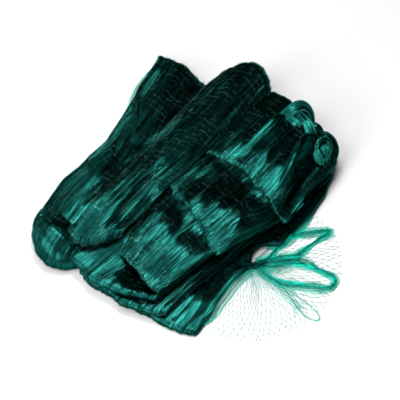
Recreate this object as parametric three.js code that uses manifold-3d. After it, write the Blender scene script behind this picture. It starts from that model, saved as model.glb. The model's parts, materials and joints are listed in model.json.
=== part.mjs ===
// Folded fishing net. One long strip of gathered fine netting lies back and forth in a low heap,
// a second tongue of it is rolled over at the left, and its loose corner is spread flat as a fan.
// Millimetres, +Z up. X runs across the heap, Y away from the rolled front, the floor is at z = 0.
import * as THREE from "three";
import { mergeVertices } from "three/addons/utils/BufferGeometryUtils.js";
import Module from "manifold-3d";

const wasm = await Module();
wasm.setup();

// Cross-section of the gathered strip
const ACROSS_POINTS = 11; // points over each face of the strip, from its left edge to its right edge
const EDGE_ROUNDING = 9; // width over which a side edge thins out
const TURN_STEPS = 4; // steps round each fold
const ARCH_RUN = 60; // length over which an arched crease comes down again

// The fan of open meshes
const FAN_CENTRE = { x: 99, y: -122 };
const FAN_RADIUS = 138;
const FAN_FROM_DEG = -122;
const FAN_TO_DEG = 47;
const FAN_MESHES = 20; // meshes round the rim, one and a half times the knotted pitch
const FAN_BAR = 15; // length of one bar of a mesh
const FAN_FIRST_RING = 12;
const TWINE_WIDTH = 1.8;
const FAN_THICKNESS = 1.5;
const SMALLEST_GAP = 4;

// The gathered loops that lie on the fan
const LOOP_WIDTH = 10;
const LOOP_HEIGHT = 5;
const LOOP_SINK = 0.6; // how far a loop is pressed into the fan

// The frame's origin lies under the middle of the net's box
const BOX_MIDDLE = { x: 5, y: 0 };

// Creases of the heap in the order in which the strip meets them. left and right are the crease's two ends,
// bulge rounds its middle outwards, arch lifts its middle, lobes and lobeDepth scallop it.
const HEAP_CREASES = [
  { name: "floor end", left: [50, 150], right: [212, 30], bulge: 0, arch: 0 },
  { name: "front roll 1", left: [-150, -150], right: [16, -254], bulge: 8, arch: 0 },
  { name: "back fold 1", left: [85, 138], right: [226, 30], bulge: 6, arch: 0 },
  { name: "front roll 2", left: [-155, -148], right: [-24, -216], bulge: 12, arch: 0 },
  { name: "back fold 2", left: [95, 148], right: [228, 40], bulge: 8, arch: 0 },
  { name: "front roll 3", left: [-168, -136], right: [-36, -198], bulge: 14, arch: 0 },
  { name: "back curls", left: [136, 152], right: [230, 36], bulge: 0, arch: 0, lobes: 2, lobeDepth: 18 },
  { name: "tier 1 edge", left: [52, 52], right: [148, -82], bulge: 2, arch: 0 },
  { name: "tier 1 tuck", left: [84, 90], right: [180, -44], bulge: 0, arch: 0 },
  { name: "tier 2 edge", left: [-12, -24], right: [57, -142], bulge: 2, arch: 0 },
  { name: "tier 2 tuck", left: [20, 14], right: [89, -104], bulge: 0, arch: 0 },
  { name: "tier 3 edge", left: [-92, -136], right: [-37, -205], bulge: 2, arch: 10 },
  { name: "top lobe back", left: [40, 160], right: [130, 142], bulge: 46, arch: 0 },
  { name: "top lobe front", left: [-166, -88], right: [-92, -108], bulge: 24, arch: 0 },
  { name: "tucked end", left: [10, 120], right: [85, 100], bulge: 0, arch: 0 },
];

// Layers of the heap, one between each crease and the next. levels are heights of the layer's middle at even
// steps along it, crown lifts its middle line, and ridges counts the gathers that stand ridgeHeight high.
const HEAP_LAYERS = [
  { name: "floor layer", levels: [3.5], thick: 7, crown: 0, ridges: 0, ridgeHeight: 0, steps: 5 },
  { name: "layer 2", levels: [12], thick: 6.5, crown: 0, ridges: 0, ridgeHeight: 0, steps: 7 },
  { name: "layer 3", levels: [20.5], thick: 6.5, crown: 0, ridges: 0, ridgeHeight: 0, steps: 4 },
  { name: "layer 4", levels: [29.5], thick: 6, crown: 0, ridges: 0, ridgeHeight: 0, steps: 4 },
  { name: "layer 5", levels: [38.5], thick: 6.5, crown: 0, ridges: 0, ridgeHeight: 0, steps: 4 },
  { name: "layer 6", levels: [48.5], thick: 7.5, crown: 0, ridges: 0, ridgeHeight: 0, steps: 6 },
  { name: "tier 1", levels: [78, 76, 74, 72], thick: 5, crown: 4, ridges: 2, ridgeHeight: 2, steps: 7 },
  { name: "tier 1 return", levels: [65.5], thick: 3.5, crown: 0, ridges: 0, ridgeHeight: 0, steps: 2 },
  { name: "tier 2", levels: [60, 60, 60, 64, 70.5, 72, 72], thick: 3.5, crown: 0, ridges: 0, ridgeHeight: 0, steps: 8 },
  { name: "tier 2 return", levels: [65.5], thick: 3.5, crown: 0, ridges: 0, ridgeHeight: 0, steps: 2 },
  { name: "tier 3", levels: [60, 60, 60, 62, 64, 66, 66], thick: 3.5, crown: 0, ridges: 0, ridgeHeight: 0, steps: 8 },
  { name: "under lobe", levels: [59, 55, 55, 55], thick: 3.5, crown: 0, ridges: 0, ridgeHeight: 0, steps: 9 },
  { name: "top lobe", levels: [70, 69, 68, 67.5], thick: 7, crown: 14, ridges: 2, ridgeHeight: 2.5, steps: 9 },
  { name: "lobe filling", levels: [59.5], thick: 4.5, crown: 8, ridges: 0, ridgeHeight: 0, steps: 4 },
];

// The left tongue, wound over itself and rolled under at its front
const TONGUE_CREASES = [
  { name: "inner end", left: [-38, 200], right: [28, 146], bulge: 0, arch: 0 },
  { name: "inner front", left: [-186, -50], right: [-148, -92], bulge: 8, arch: 0 },
  { name: "back edge", left: [-34, 262], right: [42, 172], bulge: 0, arch: 0 },
  { name: "front bulge", left: [-222, -52], right: [-156, -134], bulge: 40, arch: 0 },
  { name: "floor end", left: [-36, 240], right: [70, 146], bulge: 0, arch: 0 },
];

const TONGUE_LAYERS = [
  { name: "inner layer 1", levels: [13.5], thick: 8, crown: 0, ridges: 0, ridgeHeight: 0, steps: 4 },
  { name: "inner layer 2", levels: [25], thick: 9, crown: 0, ridges: 0, ridgeHeight: 0, steps: 5 },
  { name: "tongue top", levels: [36, 39, 41], thick: 11, crown: 3, ridges: 2, ridgeHeight: 2, steps: 9,
    leftBow: 16 },
  { name: "tongue underside", levels: [3.5], thick: 7, crown: 0, ridges: 0, ridgeHeight: 0, steps: 6, leftBow: 16 },
];

// Where the net slopes down to the floor: a line along its rim, the share of the height that is left there,
// and the width of the slope
const HEAP_RIM = { from: [20, -262], to: [236, 32], left: 0.62, width: 50 };
const TONGUE_RIM = { from: [-44, 246], to: [-236, -46], left: 0.3, width: 62 };

// Middle lines of the gathered loops, from the fan's throat and back to it
const LOOPS = [
  { name: "upper loop", route: [[86, -140], [112, -112], [134, -88], [160, -70], [190, -60], [214, -58], [220, -68],
    [205, -80], [182, -94], [162, -110], [138, -124], [104, -136]] },
  { name: "lower loop", route: [[84, -138], [112, -128], [142, -120], [168, -117], [194, -128], [214, -141], [228, -154],
    [226, -166], [206, -168], [178, -166], [152, -158], [126, -146], [104, -136]] },
];

const plan = ([x, y]) => new THREE.Vector2(x, y);
const mix = (a, b, w) => a + (b - a) * w;
const hump = (t) => 4 * t * (1 - t); // 0 at both ends, 1 halfway
const smooth = (w) => w * w * (3 - 2 * w);
const fade = (distance) => 1 - smooth(Math.min(1, distance / ARCH_RUN)); // how an arch dies out along a layer

// Height at f along a layer, eased from each of its levels to the next
function levelAt(levels, f) {
  const place = f * (levels.length - 1);
  const before = Math.min(Math.floor(place), Math.max(0, levels.length - 2));
  const after = Math.min(before + 1, levels.length - 1);
  return mix(levels[before], levels[after], smooth(place - before));
}

// The point of a crease at t across the strip, pushed outwards by its bulge and lobes
function creasePoint(crease, outward, t) {
  const scallop = crease.lobes ? crease.lobeDepth * Math.abs(Math.sin(Math.PI * crease.lobes * t)) : 0;
  return plan(crease.left)
    .lerp(plan(crease.right), t)
    .addScaledVector(outward, crease.bulge * hump(t) + scallop);
}

// The way in which the strip runs into each crease
function outwardDirections(creases) {
  const middles = creases.map((c) => plan(c.left).lerp(plan(c.right), 0.5));
  return middles.map((m, i) => {
    const arriving = i > 0 ? m.clone().sub(middles[i - 1]) : m.clone().sub(middles[1]);
    return arriving.normalize();
  });
}

// One line of points along the whole strip at t across it, with the strip's thickness at each point
function stripLine(creases, layers, outward, t) {
  const corners = creases.map((c, i) => creasePoint(c, outward[i], t));
  const along = layers.map((_, i) => corners[i + 1].clone().sub(corners[i]).normalize());
  const lift = (i) => creases[i].arch * hump(t);
  const turnAt = (i) => {
    const before = layers[i - 1].levels.at(-1) + layers[i - 1].crown * hump(t) + lift(i);
    const after = layers[i].levels[0] + layers[i].crown * hump(t) + lift(i);
    const radius = Math.abs(after - before) / 2;
    return { before, after, radius, reach: radius + (layers[i - 1].thick + layers[i].thick) / 4 };
  };
  const line = [];
  layers.forEach((layer, i) => {
    const startReach = i > 0 ? turnAt(i).reach : 0;
    const endReach = i < layers.length - 1 ? turnAt(i + 1).reach : 0;
    const start = corners[i].clone().addScaledVector(along[i], startReach);
    const end = corners[i + 1].clone().addScaledVector(along[i], -endReach);
    const sideways = plan(creases[i].right).sub(plan(creases[i].left)).normalize();
    for (let step = 0; step <= layer.steps; step++) {
      const f = step / layer.steps;
      const at = start.clone().lerp(end, f);
      const fromStart = at.distanceTo(start);
      const fromEnd = at.distanceTo(end);
      at.addScaledVector(sideways, (layer.leftBow ?? 0) * (1 - t) * hump(f));
      const ridge = layer.ridgeHeight * Math.sin(2 * Math.PI * layer.ridges * t) * hump(f);
      const lifted = lift(i) * fade(fromStart) + lift(i + 1) * fade(fromEnd);
      const z = levelAt(layer.levels, f) + layer.crown * hump(t) + ridge + lifted;
      line.push({ point: new THREE.Vector3(at.x, at.y, z), thick: layer.thick });
    }
    if (i === layers.length - 1) return;
    const turn = turnAt(i + 1);
    const back = corners[i + 1].clone().addScaledVector(along[i + 1], turn.reach);
    for (let step = 1; step < TURN_STEPS; step++) {
      const w = step / TURN_STEPS;
      const angle = Math.PI * (w - 0.5);
      const facing = along[i].clone().lerp(along[i + 1].clone().negate(), w).normalize();
      const at = end.clone().lerp(back, w).addScaledVector(facing, turn.radius * Math.cos(angle));
      const z = mix(turn.before, turn.after, (1 + Math.sin(angle)) / 2);
      line.push({ point: new THREE.Vector3(at.x, at.y, z), thick: mix(layer.thick, layers[i + 1].thick, w) });
    }
  });
  return line;
}

// Share of the height that is left at a place near a rim
function settling(rim, x, y) {
  const run = plan(rim.to).sub(plan(rim.from)).normalize();
  const off = new THREE.Vector2(x, y).sub(plan(rim.from));
  const inside = run.x * off.y - run.y * off.x;
  return mix(rim.left, 1, smooth(Math.min(1, Math.max(0, inside / rim.width))));
}

// The strip as a closed solid: its two faces stand half its thickness off its middle
function stripSolid(creases, layers, rim) {
  const outward = outwardDirections(creases);
  const spread = Array.from({ length: ACROSS_POINTS }, (_, j) => {
    return (1 - Math.cos((Math.PI * j) / (ACROSS_POINTS - 1))) / 2;
  });
  const lines = spread.map((t) => stripLine(creases, layers, outward, t));
  const stations = lines[0].length;
  const last = ACROSS_POINTS - 1;
  const middle = (i, j) => lines[j][Math.min(stations - 1, Math.max(0, i))].point;
  const facePoint = (i, j, side) => {
    const at = middle(i, j);
    const width = middle(i, 0).distanceTo(middle(i, last));
    const toEdge = Math.min(spread[j], 1 - spread[j]) * width;
    const thin = Math.min(1, toEdge / EDGE_ROUNDING);
    const half = (lines[j][i].thick / 2) * Math.sqrt(1 - (1 - thin) ** 2);
    const onward = middle(i + 1, j).clone().sub(middle(i - 1, j));
    const sideways = middle(i, Math.min(last, j + 1)).clone().sub(middle(i, Math.max(0, j - 1)));
    const normal = onward.cross(sideways).normalize();
    const point = at.clone().addScaledVector(normal, side * half);
    point.z = Math.max(0, point.z) * settling(rim, point.x, point.y);
    return point;
  };
  const loop = (i) => {
    const points = [];
    for (let j = 0; j <= last; j++) points.push(facePoint(i, j, 1));
    for (let j = last - 1; j > 0; j--) points.push(facePoint(i, j, -1));
    return points;
  };
  return loftSolid(Array.from({ length: stations }, (_, i) => loop(i)));
}

// A closed solid through loops of equally many points, with a flat strip over each end
function loftSolid(loops) {
  const size = loops[0].length;
  const points = loops.flat();
  const index = [];
  const quad = (a, b, c, d) => index.push(a, b, c, a, c, d);
  for (let i = 0; i < loops.length - 1; i++) {
    for (let k = 0; k < size; k++) {
      const next = (k + 1) % size;
      quad(i * size + k, i * size + next, (i + 1) * size + next, (i + 1) * size + k);
    }
  }
  const cap = (first, turned) => {
    for (let k = 0; k < size / 2; k++) {
      const ring = [k, k + 1, size - k - 1, size - k].map((n) => first + (n % size));
      const face = turned ? ring.reverse() : ring;
      quad(...face);
    }
  };
  cap(0, true);
  cap((loops.length - 1) * size, false);
  const geometry = new THREE.BufferGeometry().setFromPoints(points);
  geometry.setIndex(index);
  return toSolid(geometry);
}

// A closed three.js geometry as a solid that can be joined, turned so that its faces point out
function toSolid(geometry) {
  const bare = geometry.clone();
  bare.deleteAttribute("normal");
  bare.deleteAttribute("uv");
  const merged = mergeVertices(bare, 1e-3);
  const kept = [];
  for (let i = 0; i < merged.index.count; i += 3) {
    const corners = [0, 1, 2].map((n) => merged.index.getX(i + n));
    if (new Set(corners).size === 3) kept.push(...corners);
  }
  const solidFrom = (triVerts) =>
    new wasm.Manifold(
      new wasm.Mesh({
        numProp: 3,
        vertProperties: new Float32Array(merged.attributes.position.array),
        triVerts: new Uint32Array(triVerts),
      }),
    );
  const solid = solidFrom(kept);
  if (solid.volume() > 0) return solid;
  const turned = [];
  for (let i = 0; i < kept.length; i += 3) turned.push(kept[i], kept[i + 2], kept[i + 1]);
  return solidFrom(turned);
}

// Radii of the fan's rows of knots: each row is a bar's length further out, less what the open mesh takes up
function fanRings(stepAngle) {
  const rings = [];
  let next = FAN_FIRST_RING;
  while (next <= FAN_RADIUS) {
    rings.push(next);
    next += Math.sqrt(FAN_BAR ** 2 - ((next * stepAngle) / 2) ** 2);
  }
  return rings;
}

// The fan: a flat sector with a diamond cut through it for each open mesh
function fanSolid() {
  const from = THREE.MathUtils.degToRad(FAN_FROM_DEG);
  const to = THREE.MathUtils.degToRad(FAN_TO_DEG);
  const stepAngle = (to - from) / FAN_MESHES;
  const rings = fanRings(stepAngle);
  const at = (radius, angle) =>
    new THREE.Vector2(FAN_CENTRE.x + radius * Math.cos(angle), FAN_CENTRE.y + radius * Math.sin(angle));
  const rim = rings.at(-1);
  const outline = [at(0, from)];
  for (let k = 0; k <= 2 * FAN_MESHES; k++) outline.push(at(rim, from + (k * stepAngle) / 2));
  const shape = new THREE.Shape(outline);
  for (let ring = 1; ring < rings.length - 1; ring++) {
    const odd = ring % 2;
    for (let mesh = 0; mesh < FAN_MESHES - odd; mesh++) {
      const angle = from + (mesh + 0.5 + odd / 2) * stepAngle;
      const middle = at(rings[ring], angle);
      const high = (rings[ring + 1] - rings[ring - 1]) / 2;
      const wide = (rings[ring] * stepAngle) / 2;
      const toSide = (high * wide) / Math.hypot(high, wide);
      const open = toSide - TWINE_WIDTH / 2;
      if (2 * open < SMALLEST_GAP) continue;
      const corners = [
        at(rings[ring - 1], angle),
        at(rings[ring], angle + stepAngle / 2),
        at(rings[ring + 1], angle),
        at(rings[ring], angle - stepAngle / 2),
      ];
      shape.holes.push(new THREE.Path(corners.map((c) => c.lerp(middle, 1 - open / toSide))));
    }
  }
  return toSolid(new THREE.ExtrudeGeometry(shape, { depth: FAN_THICKNESS, bevelEnabled: false, curveSegments: 1 }));
}

// A gathered loop of net: a low six-sided bundle along its route, pressed a little into the fan
function loopSolid(route) {
  const curve = new THREE.CatmullRomCurve3(route.map(([x, y]) => new THREE.Vector3(x, y, 0)));
  const steps = 2 * route.length;
  const base = FAN_THICKNESS - LOOP_SINK;
  const section = [
    { across: 0.5, up: 0.4 },
    { across: 0.3, up: 1 },
    { across: -0.3, up: 1 },
    { across: -0.5, up: 0.4 },
    { across: -0.3, up: 0 },
    { across: 0.3, up: 0 },
  ];
  const rings = Array.from({ length: steps + 1 }, (_, i) => {
    const at = curve.getPoint(i / steps);
    const ahead = curve.getTangent(i / steps);
    const side = new THREE.Vector3(-ahead.y, ahead.x, 0);
    return section.map(({ across, up }) => {
      const point = at.clone().addScaledVector(side, LOOP_WIDTH * across);
      point.z = base + LOOP_HEIGHT * up;
      return point;
    });
  });
  return loftSolid(rings);
}

const solids = [
  stripSolid(HEAP_CREASES, HEAP_LAYERS, HEAP_RIM),
  stripSolid(TONGUE_CREASES, TONGUE_LAYERS, TONGUE_RIM),
  fanSolid(),
  ...LOOPS.map((loop) => loopSolid(loop.route)),
];
const net = solids.reduce((whole, piece) => whole.add(piece));

// The joined solid as a three.js mesh
function toMesh(solid, name, material) {
  const { vertProperties, triVerts, numProp, numVert } = solid.getMesh();
  const positions = new Float32Array(3 * numVert);
  for (let i = 0; i < numVert; i++) {
    positions.set(vertProperties.subarray(i * numProp, i * numProp + 3), 3 * i);
  }
  const geometry = new THREE.BufferGeometry();
  geometry.setAttribute("position", new THREE.BufferAttribute(positions, 3));
  geometry.setIndex(new THREE.BufferAttribute(triVerts, 1));
  geometry.translate(-BOX_MIDDLE.x, -BOX_MIDDLE.y, 0);
  geometry.computeVertexNormals();
  const mesh = new THREE.Mesh(geometry, material);
  mesh.name = name;
  return mesh;
}

const greenNylon = new THREE.MeshStandardMaterial({ color: 0x0b4f45, roughness: 0.45, metalness: 0 });

const group = new THREE.Group();
group.name = "folded_fishing_net";
group.add(toMesh(net, "folded_net", greenNylon));

export default group;
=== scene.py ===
"""Dresses the folded fishing net: gathered core, strands, knot rows, open fan, gathered loops, edges and studio."""

import json
import math

import bpy
import numpy as np
from bpy.props import FloatProperty, FloatVectorProperty, IntProperty, PointerProperty
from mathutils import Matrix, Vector
from mathutils.bvhtree import BVHTree

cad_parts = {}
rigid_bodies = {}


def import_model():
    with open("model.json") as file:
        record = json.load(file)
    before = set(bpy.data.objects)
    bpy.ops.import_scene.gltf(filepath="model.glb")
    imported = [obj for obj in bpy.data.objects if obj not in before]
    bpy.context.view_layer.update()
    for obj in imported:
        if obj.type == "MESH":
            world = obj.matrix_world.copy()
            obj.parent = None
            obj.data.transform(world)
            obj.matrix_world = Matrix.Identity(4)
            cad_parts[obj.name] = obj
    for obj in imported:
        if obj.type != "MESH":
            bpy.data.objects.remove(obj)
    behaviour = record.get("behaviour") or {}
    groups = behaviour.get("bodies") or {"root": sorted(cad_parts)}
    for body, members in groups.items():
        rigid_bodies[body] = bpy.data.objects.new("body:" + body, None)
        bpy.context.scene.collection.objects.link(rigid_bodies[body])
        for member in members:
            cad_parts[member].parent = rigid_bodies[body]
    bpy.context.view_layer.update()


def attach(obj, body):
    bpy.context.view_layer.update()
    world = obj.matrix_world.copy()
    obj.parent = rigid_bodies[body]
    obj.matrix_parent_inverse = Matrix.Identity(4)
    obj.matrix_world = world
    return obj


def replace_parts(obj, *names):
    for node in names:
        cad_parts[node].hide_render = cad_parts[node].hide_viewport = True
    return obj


bl_info = {
    "name": "Folded Fishing Net",
    "version": (1, 0, 0),
    "blender": (4, 5, 0),
    "location": "View3D > Sidebar > Net",
    "description": "Builds the look of a folded fishing net over its packed solid",
    "category": "Add Mesh",
}

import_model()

NODE = "folded_net"
BODY = "root"
MM = 0.001
FRAME_SHIFT = np.array([-5.0, 0.0, 0.0])  # from the tables' origin to the frame's, in mm
UP = np.array([0.0, 0.0, 1.0])
CORE_GAP = 0.1  # least height of the gathered core over the floor, in mm
THREAD_GAP = 0.05  # least height of strands and knots over the floor, in mm
FULL_TURN = 2 * math.pi
PHASES = 6.28  # range of random phases, in radians


def table(columns, *rows):
    """Rows of values as dictionaries, with the columns' names as their keys."""
    return tuple(dict(zip(columns, row)) for row in rows)


# Creases of the heap in the order in which the gathered strip meets them, in mm. left and right are the crease's two
# ends, bulge rounds its middle outwards, ruffle waves it, arch lifts its middle, lobes and depth scallop it.
HEAP_CREASES = (
    {"name": "floor end", "left": (50, 150), "right": (212, 30)},
    {"name": "front roll 1", "left": (-150, -150), "right": (16, -254), "bulge": 8, "ruffle": 2},
    {"name": "back fold 1", "left": (85, 138), "right": (226, 30), "bulge": 6},
    {"name": "front roll 2", "left": (-155, -148), "right": (-30, -230), "bulge": 12, "ruffle": 3},
    {"name": "back fold 2", "left": (95, 148), "right": (228, 40), "bulge": 8},
    {"name": "front roll 3", "left": (-168, -136), "right": (-42, -210), "bulge": 16, "ruffle": 2},
    {"name": "back curls", "left": (136, 152), "right": (230, 36), "lobes": 2, "depth": 8},
    {"name": "tier 1 edge", "left": (34, 40), "right": (152, -78), "bulge": -6, "ruffle": -4},
    {"name": "tier 1 tuck", "left": (80, 72), "right": (180, -44)},
    {"name": "tier 2 edge", "left": (-20, -18), "right": (54, -147), "bulge": 2, "ruffle": 3},
    {"name": "tier 2 tuck", "left": (20, 14), "right": (89, -104)},
    {"name": "tier 3 edge", "left": (-92, -136), "right": (-37, -205), "bulge": 2, "arch": 20, "ruffle": 2},
    {"name": "top lobe back", "left": (40, 160), "right": (130, 142), "bulge": 50},
    {"name": "top lobe front", "left": (-170, -102), "right": (-92, -110), "bulge": 24},
    {"name": "tucked end", "left": (10, 120), "right": (85, 100)},
)

# Layers of the heap, one between each crease and the next, in mm. levels are heights of the layer's middle at
# even steps along it, crown lifts its middle line, pitch is the distance between its cross-sections. left_line and
# right_line push its left and its right edge to the right at even steps along it, and right_rise lifts its right edge.
HEAP_LAYERS = (
    {"name": "floor layer", "levels": (3.5,), "thick": 7, "pitch": 8,
     "right_line": (0, 9, 12, 10, 8, -18, -7, -13, -10, -3, 0)},
    {"name": "layer 2", "levels": (12,), "thick": 6.5, "pitch": 6,
     "right_line": (0, -3, -10, -13, -7, -18, 8, 10, 12, 9, 0)},
    {"name": "layer 3", "levels": (20.5,), "thick": 6.5, "pitch": 20},
    {"name": "layer 4", "levels": (29.5,), "thick": 6, "pitch": 20},
    {"name": "layer 5", "levels": (38.5,), "thick": 6.5, "pitch": 20},
    {"name": "layer 6", "levels": (47.5,), "thick": 6, "pitch": 6},
    {"name": "tier 1", "levels": (66, 70, 69, 66.8), "thick": 2.4, "crown": 4, "pitch": 5},
    {"name": "tier 1 return", "levels": (64.8,), "thick": 1, "pitch": 8},
    {"name": "tier 2", "levels": (62.6, 62.6, 63, 64.6, 65, 65.2, 65), "thick": 2.2, "pitch": 5},
    {"name": "tier 2 return", "levels": (62.6,), "thick": 1, "pitch": 8},
    {"name": "tier 3", "levels": (60, 60, 60, 60.6, 60.5, 60, 59.5), "thick": 2.4, "pitch": 5},
    {"name": "under lobe", "levels": (54.5, 55, 55, 55), "thick": 3.5, "pitch": 12},
    {"name": "top lobe", "levels": (70, 70, 69.5, 69, 68, 66.5), "thick": 7, "crown": 9, "pitch": 5},
    {"name": "lobe filling", "levels": (50, 57, 59.5, 59.5), "thick": 4.5, "crown": 6, "pitch": 12},
)

# The left tongue, wound over itself and rolled under at its front
TONGUE_CREASES = (
    {"name": "inner end", "left": (-38, 200), "right": (28, 146)},
    {"name": "inner front", "left": (-186, -50), "right": (-148, -92), "bulge": 8},
    {"name": "back edge", "left": (-37, 262), "right": (42, 172), "ruffle": -1},
    {"name": "front bulge", "left": (-222, -52), "right": (-156, -134), "bulge": 40},
    {"name": "floor end", "left": (-36, 240), "right": (70, 146)},
)

TONGUE_LAYERS = (
    {"name": "inner layer 1", "levels": (13.5,), "thick": 8, "pitch": 20},
    {"name": "inner layer 2", "levels": (25,), "thick": 9, "pitch": 20},
    {"name": "tongue top", "levels": (36, 39, 41), "thick": 11, "crown": 3, "pitch": 5,
     "left_line": (4, 6, 23, 25, 14, 0, 2), "right_rise": 16},
    {"name": "tongue underside", "levels": (3.5,), "thick": 7, "pitch": 10,
     "left_line": (2, 0, 14, 25, 23, 6, 4)},
)

# Where the net slopes down to the floor: a line along its rim, the share of the height that is left there,
# and the width of the slope
HEAP_RIM = {"from": (20, -262), "to": (236, 32), "left": 0.62, "width": 50}
TONGUE_RIM = {"from": (-44, 246), "to": (-236, -46), "left": 0.3, "width": 62}

EDGE_ROUNDING = 9.0  # width over which a strip thins out to its two edges, in mm
EDGE_CROWDING = 0.35  # how far the columns of a strip crowd towards its two edges, from 0 to 1
ARCH_RUN = 100.0  # length over which the lift of an arched crease fades out, in mm
TURN_STEP = 2.5  # length of a step round a turn, in mm
LEAST_STEPS, LEAST_TURNS = 3, 6  # fewest steps along a layer and round a turn
STRAY_COARSE, STRAY_FINE = 4.1, 1.9  # widths of the strays of a ragged crest, in mm
RIDGE_REACH = 1.6  # a ridge has faded out at this many times half its length

# Puffed and hollow places, in mm: the middle of the crest, the heading of its front slope in degrees, the lengths of
# the slopes in front of it and behind it, half its length across, its rise as a share of the height (below 0 for a
# hollow), and how far its crest strays from strand to strand
SWELLS = table(
    ("name", "at", "heading", "front", "back", "half", "rise", "ragged"),
    ("tier 1 pleat", (92, 44), 228, 52, 60, 16, 0.04, 6),
    ("tier 1 thin ridge", (140, 86), 226, 92, 20, 7, 0.24, 0),
    ("tier 1 patch", (122, 24), 228, 56, 60, 18, 0.08, 6),
    ("tier 1 band", (152, 0), 232, 76, 70, 26, 0.15, 6),
    ("tier 1 wall", (182, 48), 247, 104, 20, 9, 0.2, 0),
    ("outer band", (182, -32), 236, 62, 70, 20, 0.18, 6),
    ("tier 2 streaks", (36, -50), 226, 56, 45, 22, 0.11, 6),
    ("tier 2 thin ridge", (54, -65), 220, 80, 20, 6, 0.12, 0),
    ("tier 2 block 1", (62, -72), 224, 60, 45, 26, 0.16, 6),
    ("tier 2 block 2", (86, -97), 222, 62, 45, 26, 0.21, 6),
    ("lobe front", (-98, 2), 228, 84, 130, 24, -0.16, 0),
    ("tier 3 left", (5, -60), 228, 104, 50, 46, 0.09, 6),
    ("tier 3 right", (2, -140), 224, 74, 50, 36, 0.06, 6),
    ("tier 3 middle", (-34, -90), 228, 74, 40, 34, 0.1, 6),
    ("front rolls", (-80, -120), 230, 60, 40, 60, 0.08, 0),
    ("front corner", (-170, -130), 226, 200, 74, 84, -0.15, 0),
    ("floor block", (22, -196), 228, 54, 60, 26, 0.7, 6),
    ("cave", (-60, -166), 219, 36, 70, 46, -0.2, 0),
    ("front slope", (-84, -186), 226, 200, 130, 130, -0.22, 0),
    ("bulge crest", (-196, -92), 222, 44, 30, 46, 0.3, 0),
    ("tongue bulge", (-134, 6), 226, 88, 90, 60, 0.17, 6),
)

# Ridges and grooves that lie along the strands, in mm: two ends, the widths of the slopes to the left and to the
# right of that line, and the rise as a share of the height
RIDGES = table(
    ("name", "from", "to", "left", "right", "rise"),
    ("tier 1 pleat", (95, 62), (63, 25), 5, 7, 0.04),
    ("tier 1 hollow", (200, 44), (152, -52), 18, 5, -0.34),
    ("outer band", (228, 22), (160, -66), 12, 10, 0.12),
    ("lobe groove 1", (-48, -10), (-108, -92), 6, 4, -0.18),
    ("lobe groove 2", (-51, -52), (-92, -98), 5, 3, -0.14),
    ("tongue fold", (-64, 168), (-100, 70), 6, 10, -0.16),
)

# Waves of a ruffled crease: waves across the strip, phase in turns and share of the crease's ruffle
RUFFLES = table(
    ("waves", "phase", "share"),
    (1.3, 0.1, 1.0),
    (3.1, 0.37, 0.45),
    (7.7, 0.62, 0.12),
    (13.3, 0.21, 0.07),
)

GATHER_LEAN = 35  # width over which the sway of the gathers shifts by one radian, in mm
GATHER_BACK, GATHER_MEAN = 0.7, 0.65  # power that rounds the back of a gather, and its mean height

# Gathers across the strip: width of one fold, height of it, how far it sways and over what length, in mm
GATHERS = table(
    ("width", "height", "sway", "length"),
    (21.0, 1.5, 5.0, 240.0),
    (9.0, 0.8, 3.0, 130.0),
    (4.2, 0.35, 1.6, 70.0),
)

# Ripples along the strands, out of step from bundle to bundle: height, length along them, and how the phase (in
# radians) swings over widths across the strip, in mm
RIPPLES = table(
    ("height", "length", "swings"),
    (0.35, 74.0, ((17.0, 2.5), (7.3, 1.8))),
    (0.12, 37.0, ((11.0, 2.5), (5.1, 1.8))),
)

# Gathered bands of net on the fan, in mm: width of the band, number of its strands, the share of them that are dark,
# and middle line
LOOPS = table(
    ("name", "width", "strands", "dark", "route"),
    ("upper loop", 10, 54, 0.19, (
        (114, -121), (125, -114), (138, -96), (152, -77), (172, -70), (195, -66), (212, -63), (218, -65),
        (213, -71), (201, -79), (187, -91), (172, -105), (160, -111), (146, -115), (130, -120)
    )),
    ("lower loop", 12, 60, 0.13, (
        (116, -125), (128, -121), (143, -115), (160, -114), (175, -120), (190, -129), (206, -138), (219, -146),
        (223, -154), (218, -163), (208, -166), (190, -164), (166, -161), (146, -157), (132, -150), (120, -141),
        (111, -132)
    )),
    ("throat", 17, 52, 0.45, ((108, -126), (120, -123), (138, -119), (154, -117), (170, -117))),
    ("throat low", 10, 30, 0.3, ((112, -129), (128, -131), (144, -129), (160, -125), (178, -126))),
    ("thin loop", 2.0, 5, 0.2, (
        (112, -142), (130, -156), (144, -168), (155, -178), (167, -200), (181, -217), (195, -223), (200, -217),
        (192, -203), (182, -193), (160, -174), (124, -148)
    )),
    ("thin loop veil", 15, 11, 0.1, ((98, -132), (116, -144), (136, -160), (152, -176), (166, -192), (176, -206))),
)

# The dark root of the fan, where the net leaves the heap, in mm; its dark strands are painted shade
ROOT = {
    "name": "root", "width": 26, "strands": 110, "dark": 0,
    "route": ((66, -128), (80, -130), (94, -131), (108, -129), (126, -124)),
}
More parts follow.
